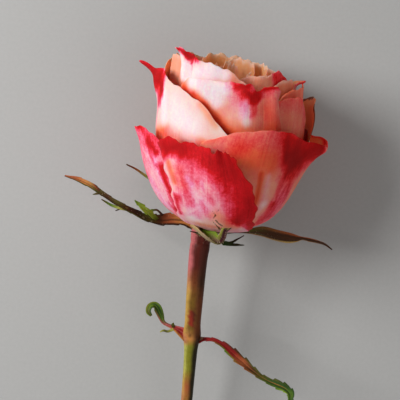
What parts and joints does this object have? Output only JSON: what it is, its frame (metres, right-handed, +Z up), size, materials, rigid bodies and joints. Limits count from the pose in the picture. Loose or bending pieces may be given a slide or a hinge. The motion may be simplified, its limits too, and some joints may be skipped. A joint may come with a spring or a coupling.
{
  "type": "cut rose flower",
  "caption": "a full, layered garden rose bloom in pink, cream and peach on a short bare stem with curling sepals, lying on its back",
  "frame": {"origin": "on the surface the rose lies on, under the middle of its outline seen from above", "axes": "+Z up, +Y along the flower from the cut end of the stem to the bloom, +X to the bloom's right as seen in the picture"},
  "size_m": [0.0878, 0.1963, 0.0559],
  "materials": {
    "petal": "soft petal, crimson rims over cream and peach",
    "sepal": "matt green-brown, finely hairy",
    "stem": "smooth skin, red-brown above and yellow-green below",
    "leaf": "waxy green with a red stalk"
  },
  "bodies": {
    "root": {"bloom": "petal", "calyx": "sepal", "stem": "stem", "leaf_left": "leaf", "leaf_right": "leaf"}
  },
  "joints": []
}
